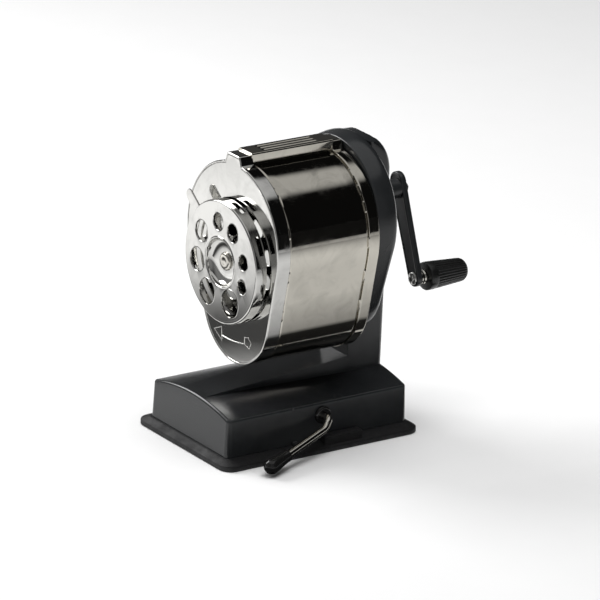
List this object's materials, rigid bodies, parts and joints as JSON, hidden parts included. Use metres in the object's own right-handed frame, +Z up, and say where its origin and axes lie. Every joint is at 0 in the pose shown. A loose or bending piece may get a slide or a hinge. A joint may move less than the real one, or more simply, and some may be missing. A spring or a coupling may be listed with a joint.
{
  "type": "desk pencil sharpener",
  "caption": "Hand-cranked desk pencil sharpener with a nickel-plated shavings receptacle, a hole selector dial and a black vacuum base.",
  "frame": {"origin": "middle of the suction pad's underside, on the desk", "axes": "+Z up; +Y from the pencil side to the crank; +X the side with the vacuum lever"},
  "size_m": [0.0947, 0.1521, 0.1463],
  "materials": {
    "black_enamel": "gloss",
    "nickel": "polished",
    "base_rubber": "matte",
    "black_plastic": "satin",
    "black_vinyl": "gloss",
    "zinc_steel": "satin",
    "gear_steel": "satin",
    "bronze": "satin",
    "cast_alloy": "satin"
  },
  "bodies": {
    "stand": {"stand": "black_enamel", "suction_pad": "base_rubber", "pad_clamp": "zinc_steel", "gear_housing": "black_enamel", "housing_screws": "zinc_steel", "ring_gear": "gear_steel", "shaft_bushing": "bronze", "lever_bush": "black_plastic"},
    "receptacle": {"receptacle_shell": "nickel", "front_plate": "nickel", "rear_band": "nickel", "seam_channel": "nickel", "dial_rivet": "nickel", "detent_spring": "nickel"},
    "dial": {"selector_dial": "nickel"},
    "crank": {"crank_shaft": "zinc_steel", "cutter_carrier": "cast_alloy", "cutter_axle_left": "zinc_steel", "cutter_axle_right": "zinc_steel", "thrust_washer": "zinc_steel", "crank_hub": "black_enamel", "crank_arm": "black_enamel", "crank_nut": "zinc_steel", "handle_axle": "zinc_steel", "handle_collar": "nickel"},
    "cutter_left": {"cutter_left": "gear_steel"},
    "cutter_right": {"cutter_right": "gear_steel"},
    "knob": {"handle_knob": "black_plastic"},
    "lever": {"vacuum_lever": "nickel", "lever_grip": "black_vinyl", "lever_cam": "zinc_steel", "lever_clip": "zinc_steel"},
    "lift": {"lift_plate": "zinc_steel", "lift_yoke": "zinc_steel"}
  },
  "joints": [
    {"name": "receptacle_pull", "type": "slide", "parent": "stand", "child": "receptacle", "axis": [0, -1, 0], "range_m": [0, 0.07]},
    {"name": "dial_turn", "type": "hinge", "parent": "receptacle", "child": "dial", "pos_m": [0.00293, -0.036, 0.09242], "axis": [0, -1, 0], "continuous": true},
    {"name": "crank_spin", "type": "hinge", "parent": "stand", "child": "crank", "pos_m": [0, 0.05, 0.112], "axis": [0, 1, 0], "continuous": true},
    {"name": "cutter_left_spin", "type": "hinge", "parent": "crank", "child": "cutter_left", "pos_m": [-0.00675, 0.0265, 0.112], "axis": [0.1564, 0.9877, 0], "continuous": true},
    {"name": "cutter_right_spin", "type": "hinge", "parent": "crank", "child": "cutter_right", "pos_m": [0.00675, 0.0265, 0.112], "axis": [-0.1564, 0.9877, 0], "continuous": true},
    {"name": "knob_spin", "type": "hinge", "parent": "crank", "child": "knob", "pos_m": [0.01678, 0.08, 0.07089], "axis": [0, 1, 0], "continuous": true},
    {"name": "vacuum_lever", "type": "hinge", "parent": "stand", "child": "lever", "pos_m": [0, 0.0022, 0.0173], "axis": [-1, 0, 0], "range_deg": [0, 180]},
    {"name": "pad_lift", "type": "slide", "parent": "stand", "child": "lift", "axis": [0, 0, 1], "range_m": [0, 0.0026]}
  ],
  "couplings": [
    {"joint": "cutter_left_spin", "follows": "crank_spin", "ratio": -2.2857},
    {"joint": "cutter_right_spin", "follows": "crank_spin", "ratio": -2.2857},
    {"joint": "pad_lift", "follows": "vacuum_lever", "m_per_rad": 0.00079577}
  ]
}
